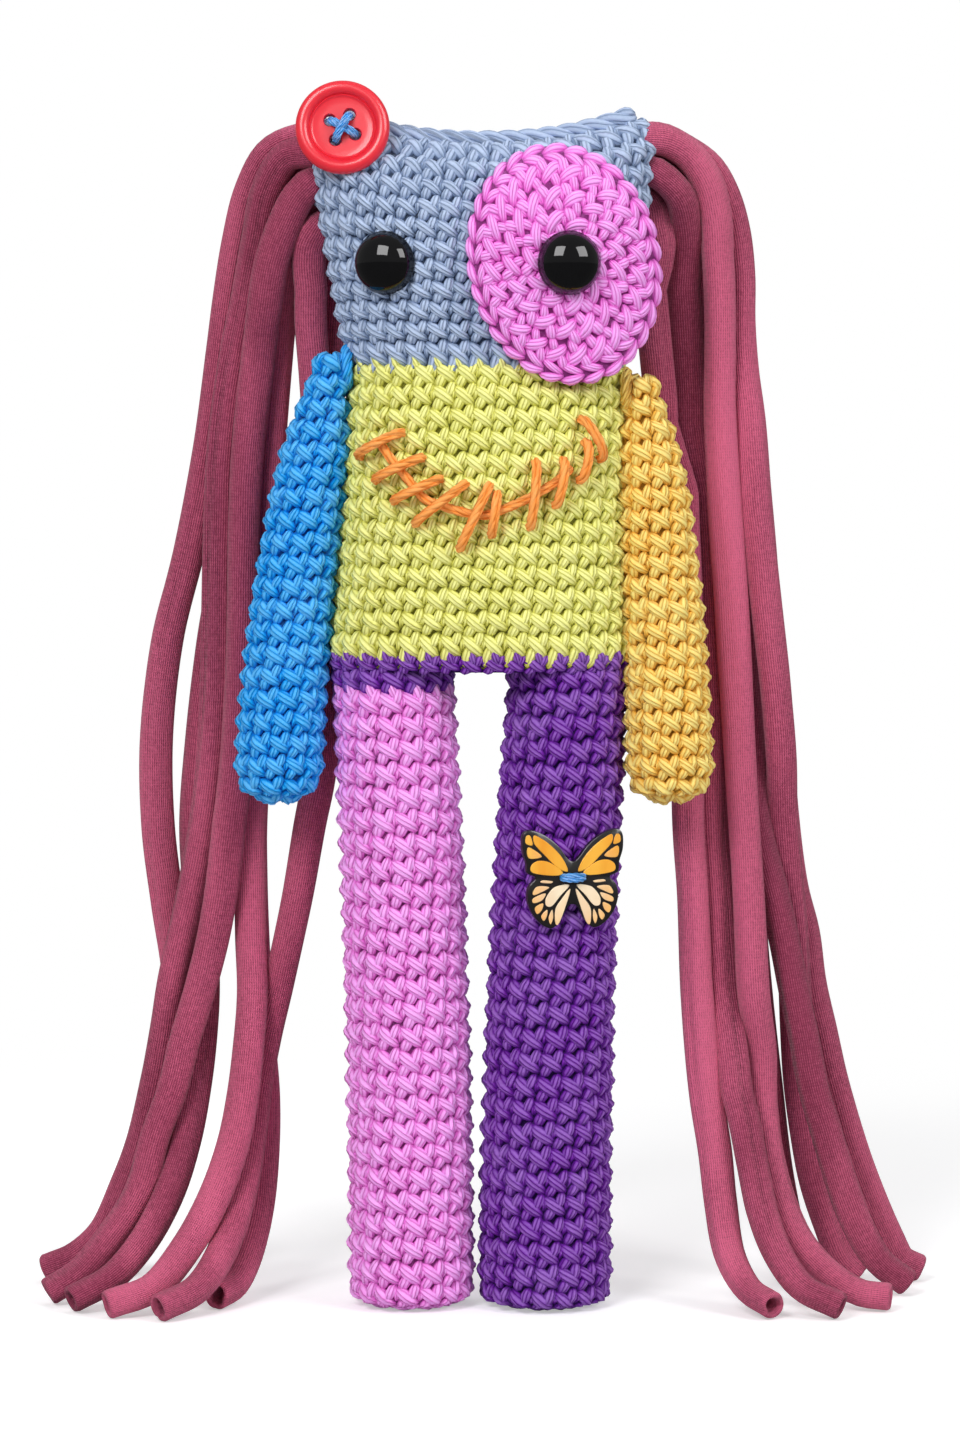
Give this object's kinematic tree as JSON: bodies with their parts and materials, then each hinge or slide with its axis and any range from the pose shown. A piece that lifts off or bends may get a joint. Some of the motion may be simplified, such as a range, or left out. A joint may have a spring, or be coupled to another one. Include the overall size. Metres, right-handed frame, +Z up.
{
  "type": "amigurumi doll",
  "caption": "Crocheted monster doll with a lime torso, mismatched arms and legs, a pink eye patch, a stitched mouth, buttons and long jersey pigtails",
  "frame": {"origin": "on the floor, under the middle of the body, limbs and fittings", "axes": "+Z up, front of the doll towards -Y, its right hand towards -X"},
  "size_m": [0.2276, 0.078, 0.3092],
  "materials": {
    "head_yarn": "matte",
    "torso_yarn": "matte",
    "purple_yarn": "matte",
    "pink_yarn": "matte",
    "blue_yarn": "matte",
    "yellow_yarn": "matte",
    "patch_yarn": "matte",
    "fibre_filling": "matte",
    "eye_plastic": "gloss",
    "washer_plastic": "satin",
    "button_plastic": "gloss",
    "painted_wood": "satin",
    "blue_thread": "matte",
    "mouth_yarn": "matte",
    "jersey_yarn": "matte"
  },
  "bodies": {
    "body": {"pelvis_cover": "purple_yarn", "torso_cover": "torso_yarn", "head_cover": "head_yarn", "body_stuffing": "fibre_filling", "eye_patch": "patch_yarn", "left_eye": "eye_plastic", "left_eye_washer": "washer_plastic", "right_eye": "eye_plastic", "right_eye_washer": "washer_plastic", "red_button": "button_plastic", "button_thread": "blue_thread", "mouth_line": "mouth_yarn", "mouth_stitch_1": "mouth_yarn", "mouth_stitch_2": "mouth_yarn", "mouth_stitch_3": "mouth_yarn", "mouth_stitch_4": "mouth_yarn", "mouth_stitch_5": "mouth_yarn", "mouth_stitch_6": "mouth_yarn", "mouth_stitch_7": "mouth_yarn", "mouth_stitch_8": "mouth_yarn", "mouth_stitch_9": "mouth_yarn", "mouth_stitch_10": "mouth_yarn"},
    "blue_shoulder": {"blue_arm_seam": "blue_yarn"},
    "blue_arm": {"blue_arm_cover": "blue_yarn", "blue_arm_stuffing": "fibre_filling"},
    "yellow_shoulder": {"yellow_arm_seam": "yellow_yarn"},
    "yellow_arm": {"yellow_arm_cover": "yellow_yarn", "yellow_arm_stuffing": "fibre_filling"},
    "pink_leg": {"pink_leg_cover": "pink_yarn", "pink_leg_stuffing": "fibre_filling"},
    "purple_leg": {"purple_leg_cover": "purple_yarn", "purple_leg_stuffing": "fibre_filling", "butterfly_button": "painted_wood", "butterfly_thread": "blue_thread"},
    "left_pigtail": {"left_strand_a": "jersey_yarn", "left_strand_b": "jersey_yarn", "left_strand_c": "jersey_yarn", "left_strand_d": "jersey_yarn", "left_strand_e": "jersey_yarn", "left_strand_f": "jersey_yarn", "left_strand_g": "jersey_yarn"},
    "right_pigtail": {"right_strand_a": "jersey_yarn", "right_strand_b": "jersey_yarn", "right_strand_c": "jersey_yarn", "right_strand_d": "jersey_yarn", "right_strand_e": "jersey_yarn", "right_strand_f": "jersey_yarn", "right_strand_g": "jersey_yarn"}
  },
  "joints": [
    {"name": "blue_arm_swing", "type": "hinge", "parent": "body", "child": "blue_shoulder", "pos_m": [-0.0364, 0.0016, 0.236], "axis": [-1, 0, 0], "range_deg": [0, 90]},
    {"name": "blue_arm_raise", "type": "hinge", "parent": "blue_shoulder", "child": "blue_arm", "pos_m": [-0.0364, 0.0016, 0.236], "axis": [0, 1, 0], "range_deg": [0, 75]},
    {"name": "yellow_arm_swing", "type": "hinge", "parent": "body", "child": "yellow_shoulder", "pos_m": [0.0428, 0.0016, 0.2305], "axis": [-1, 0, 0], "range_deg": [0, 90]},
    {"name": "yellow_arm_raise", "type": "hinge", "parent": "yellow_shoulder", "child": "yellow_arm", "pos_m": [0.0428, 0.0016, 0.2305], "axis": [0, -1, 0], "range_deg": [0, 75]},
    {"name": "pink_hip", "type": "hinge", "parent": "body", "child": "pink_leg", "pos_m": [-0.0204, 0.0061, 0.146], "axis": [-1, 0, 0], "range_deg": [-20, 90]},
    {"name": "purple_hip", "type": "hinge", "parent": "body", "child": "purple_leg", "pos_m": [0.0239, 0.0061, 0.146], "axis": [-1, 0, 0], "range_deg": [-20, 90]},
    {"name": "left_pigtail_sway", "type": "hinge", "parent": "body", "child": "left_pigtail", "pos_m": [-0.0409, 0.0086, 0.298], "axis": [0, 1, 0], "range_deg": [0, 60]},
    {"name": "right_pigtail_sway", "type": "hinge", "parent": "body", "child": "right_pigtail", "pos_m": [0.0451, 0.0086, 0.298], "axis": [0, -1, 0], "range_deg": [0, 60]}
  ]
}
